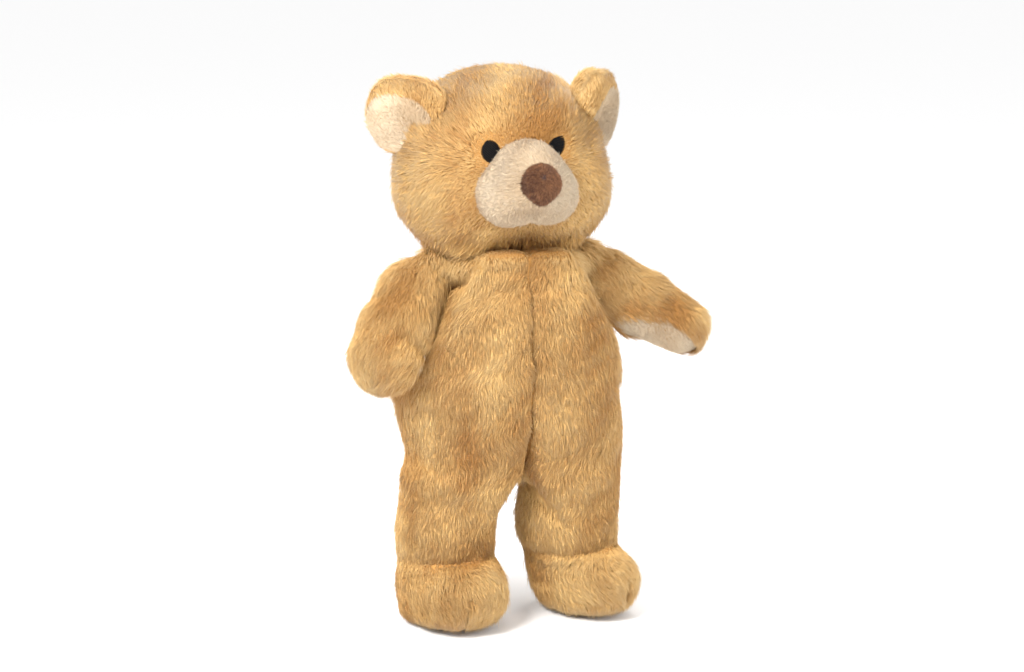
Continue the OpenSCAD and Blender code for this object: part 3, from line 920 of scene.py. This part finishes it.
# Each paw pad: its middle and half length along the arm, and how far it faces forward of inward.
PAD = {"right": (REACH["right"] - 4, 19, 0), "left": (REACH["left"] - 12, 30, math.radians(21))}
for i, (s, side) in enumerate(SIDES.items()):
    start, way, inward, wide = arm_way(s)
    mid, half, turn = PAD[s]
    face = math.cos(turn) * inward - math.sin(turn) * np.sign(wide[1]) * wide
    across = np.cross(way, face)

    def pad_edge(p, start=start, way=way, across=across, mid=mid, half=half):
        """1 at the rim of the paw pad, less inside it."""
        q = p - start
        return np.hypot((q @ way - mid) / half, q @ across / 15.5)

    def arm_pad(p, start=start, face=face, edge=pad_edge):
        return (edge(p) < 1) & ((p - start) @ face > 3)

    def arm_tone(p, s=s, start=start, face=face, edge=pad_edge):
        """Painted shade in the fold beside the torso and as a dark band round the left pad, and
        painted light on the left arm's upper side.
        """
        # painted shade where the arm lies against the torso
        fold = np.exp(-((np.maximum(torso_form(p) - 1, 0) / 6) ** 2)) * fade(-p[:, 2], -240, -225)
        if s == "right":
            return 0.54 - 0.45 * fold
        side = (p - start) @ face
        # painted shadow line round the left pad's edge; the last term paints light on the side
        # turned away from the pad
        rim = np.exp(-(((edge(p) - 1.25) / 0.3) ** 2)) * fade(side, -8, 2)
        return 0.58 - 0.5 * rim - 0.2 * fold + 0.14 * fade(-side, -4, 10)

    def arm_bare(p, n, s=s):
        q = p - SHOULDER[s]
        flat = np.abs(q @ ARM_OUT[s] - 1) < 1
        return flat & (np.linalg.norm(along(q, ARM_OUT[s]), axis=1) < 16)

    def arm_comb(p, n, s=s, way=way, start=start):
        t = (p - start) @ way
        end = fade(t, REACH[s], REACH[s] + 16)[:, None]
        return way * (1 - 0.6 * end) + 0.35 * DOWN

    arm_ground = Ground(arm[s])
    for j, (part, turn) in enumerate((("outer", -1), ("inner", 1))):
        pile(f"arm_{s}_{part}_pile", arm_ground,
             lambda p, n: ~arm_bare(p, n) & ~arm_pad(p) & (((p - start) @ inward) * turn > 0),
             arm_comb, f"arm_{s}", [f"arm_{s}_{part}"], GOLD, 31 + 2 * i + j,
             tone=arm_tone)
    # The pad's cream is set lighter, painted light that makes up for the pad facing down, away from
    # the lamps.
    pile(f"arm_{s}_pad_pile", arm_ground, lambda p, n: arm_pad(p),
         arm_comb, f"arm_{s}", [f"arm_{s}_pad"], CREAM, 35 + i,
         density=8.0, length=4.0, lift=0.4, width=0.28, clump=1.4, gather=0.2, grain=0.5,
         tone=0.8)

    def leg_bare(p, n, side=side):
        seam = (p[:, 0] * side < 1.6) & (p[:, 2] > 90)
        return seam | above_waist(p)

    toe = turn_z(TOE_TURN[s]) @ np.array([0, -1.0, 0])

    def leg_comb(p, n, toe=toe, side=side):
        ahead = fade(-p[:, 2], -46, -30)[:, None] * (n[:, 2:3] > -0.2)
        to_seam = np.exp(-np.abs(p[:, 0]) / 4) * fade(p[:, 2], 92, 104)
        return DOWN + ahead * toe * 0.9 - 0.4 * side * to_seam[:, None] * np.array([1.0, 0, 0])

    def leg_tone(p, s=s):
        return body_tone(p) + (0.14 * fade(-p[:, 2], -130, -90) if s == "left" else 0)

    def leg_length(p, s=s, toe=toe):
        near_seam = np.exp(-((p[:, 0] / 4.5) ** 2)) * (p[:, 2] > 90)
        ankle = np.exp(-(((p[:, 2] - 47) / 6) ** 2))
        across = (p[:, 0] - LEG_X[s]) * toe[1] - p[:, 1] * toe[0]
        toe_seam = np.exp(-((across / 1.8) ** 2)) * (p[:, 2] < 34) * (p[:, 1] < -20)
        length = 12.5 - 3 * ankle - 7 * near_seam - 7.5 * (1 - fade(p[:, 2], 2, 18))
        return length * (1 - 0.6 * toe_seam)

    leg_ground = Ground(leg[s])
    above = lambda p: p[:, 2] > ANKLE
    for j, (part, turn) in enumerate((("front", -1), ("back", 1))):
        pile(f"leg_{s}_{part}_pile", leg_ground,
             lambda p, n: ~leg_bare(p, n) & above(p) & (p[:, 1] * turn > 0),
             leg_comb, f"leg_{s}", [f"leg_{s}_{part}"], GOLD, 41 + 2 * i + j,
             length=leg_length, tone=leg_tone)
    pile(f"leg_{s}_foot_pile", leg_ground,
         lambda p, n: ~above(p) & (p[:, 2] > SOLE),
         leg_comb, f"leg_{s}", [f"leg_{s}_foot"], GOLD, 45 + i, length=leg_length,
         tone=leg_tone)
    pile(f"leg_{s}_sole_pile", leg_ground,
         lambda p, n: p[:, 2] <= SOLE,
         leg_comb, f"leg_{s}", [f"leg_{s}_sole"], GOLD, 47 + i,
         density=5.0, length=5.0, lift=0.12, floor=0.1)

    def ear_front(p, n, s=s):
        q = (p - EAR_AT[s]) @ EAR_TURN[s]
        return ((n @ EAR_TURN[s])[:, 1] < 0.1) & (
            ((q[:, 0] * SIDES[s] + 3) / 26) ** 2 + ((q[:, 2] + 6) / 17.5) ** 2 < 1
        )

    def ear_tone(p, s=s):
        """Painted shade, darker in the hollow where the ear folds towards the head."""
        q = (p - EAR_AT[s]) @ EAR_TURN[s]
        return 0.62 - 0.62 * fade(-q[:, 0] * SIDES[s], -2, 14) * fade(q[:, 2], -20, -6)

    def ear_comb(p, n, s=s):
        """Outwards from the ear's inner lower corner, and over the rim from behind."""
        q = (p - EAR_AT[s]) @ EAR_TURN[s]
        v = unit(np.stack([q[:, 0] + 20 * SIDES[s], 0 * q[:, 1], q[:, 2] + 30], -1))
        return (v + [0, -0.5, 0]) @ EAR_TURN[s].T

    ear_ground = Ground(ear[s])
    pile(f"ear_{s}_back_pile", ear_ground,
         lambda p, n: ~ear_front(p, n) & (head_form(p) > 0), ear_comb, "head", [f"ear_{s}_back"],
         GOLD, 51 + i, length=7.0)
    pile(f"ear_{s}_front_pile", ear_ground,
         lambda p, n: ear_front(p, n) & (head_form(p) > 0), ear_comb, "head", [f"ear_{s}_front"],
         CREAM, 53 + i, density=8.0, length=5.5, lift=0.22, width=0.28, clump=1.2,
         gather=0.1, grain=0.7, sway=0.5, tone=ear_tone)


def muzzle_comb(p, n):
    return unit(p - np.array([HEAD_X, -88.0, 306.0])) + 0.25 * DOWN


muzzle_ground = Ground(muzzle)
for i, (s, side) in enumerate(SIDES.items()):
    pile(f"muzzle_{s}_pile", muzzle_ground,
         lambda p, n: (head_form(p) > -1) & (nose_form(p) > -2) & ((p[:, 0] - HEAD_X) * side > 0),
         muzzle_comb, "head", [], CREAM, 61 + i,
         density=9.0, length=6.5, lift=0.22, width=0.27, clump=1.5, gather=0.2, grain=1.0,
         tone=0.55)
pile("nose_pile", Ground(nose), lambda p, n: p[:, 1] < -76,
     lambda p, n: unit(p - np.array([HEAD_X, -92.0, 306.0])) + 0.6 * DOWN, "head",
     [], BROWN, 71, density=14.0, length=3.0, lift=0.4, width=0.28, clump=1.3,
     gather=0.3, grain=2.2)

# ---- joint hardware ----

for name, obj in frame["nodes"].items():
    kind = STEEL if name.endswith("lock") else BOARD if name.endswith(("disc", "washer")) else None
    if kind:
        obj.data.materials.clear()
        obj.data.materials.append(kind)

# ---- floor, light and camera ----

floor_mesh = bpy.data.meshes.new("floor")
floor_mesh.from_pydata([(-30, -30, 0), (30, -30, 0), (30, 30, 0), (-30, 30, 0)], [], [(0, 1, 2, 3)])
floor = bpy.data.objects.new("floor", floor_mesh)
bpy.context.scene.collection.objects.link(floor)
pale, _, _, pale_shader = new_material("pale_floor", 0.9)
pale_shader.inputs["Base Color"].default_value = (0.96, 0.96, 0.96, 1)
floor_mesh.materials.append(pale)

world = bpy.data.worlds.new("studio")
world.use_nodes = True
world.node_tree.nodes["Background"].inputs["Color"].default_value = (1, 1, 1, 1)
world.node_tree.nodes["Background"].inputs["Strength"].default_value = 1.0
scene = bpy.context.scene
scene.world = world
scene.view_settings.view_transform = "Standard"

CAM_AZ, CAM_EL = -18, 11
CAM_FAR, CAM_LENS = 1.606, 85.0
target = to_row((1, 0, 191))


def aimed(name, data, azimuth, elevation, far):
    """A lamp or camera that looks at the target, from degrees round from the front and up."""
    obj = bpy.data.objects.new(name, data)
    scene.collection.objects.link(obj)
    a, e = math.radians(azimuth), math.radians(elevation)
    back = Vector((math.sin(a) * math.cos(e), -math.cos(a) * math.cos(e), math.sin(e)))
    obj.location = Vector(target) + back * far
    obj.rotation_euler = back.to_track_quat("Z", "Y").to_euler()
    return obj


def lamp(name, azimuth, elevation, far, size, power):
    data = bpy.data.lights.new(name, "AREA")
    data.shape = "DISK"
    data.size = size
    data.energy = power
    aimed(name, data, azimuth, elevation, far)


lamp("key", -52, 36, 1.5, 0.6, 33)
lamp("fill", 36, 20, 1.8, 1.4, 14)
lamp("rim", 150, 50, 1.6, 0.9, 7)

camera_data = bpy.data.cameras.new("camera")
camera_data.lens = CAM_LENS
scene.camera = aimed("camera", camera_data, CAM_AZ, CAM_EL, CAM_FAR)
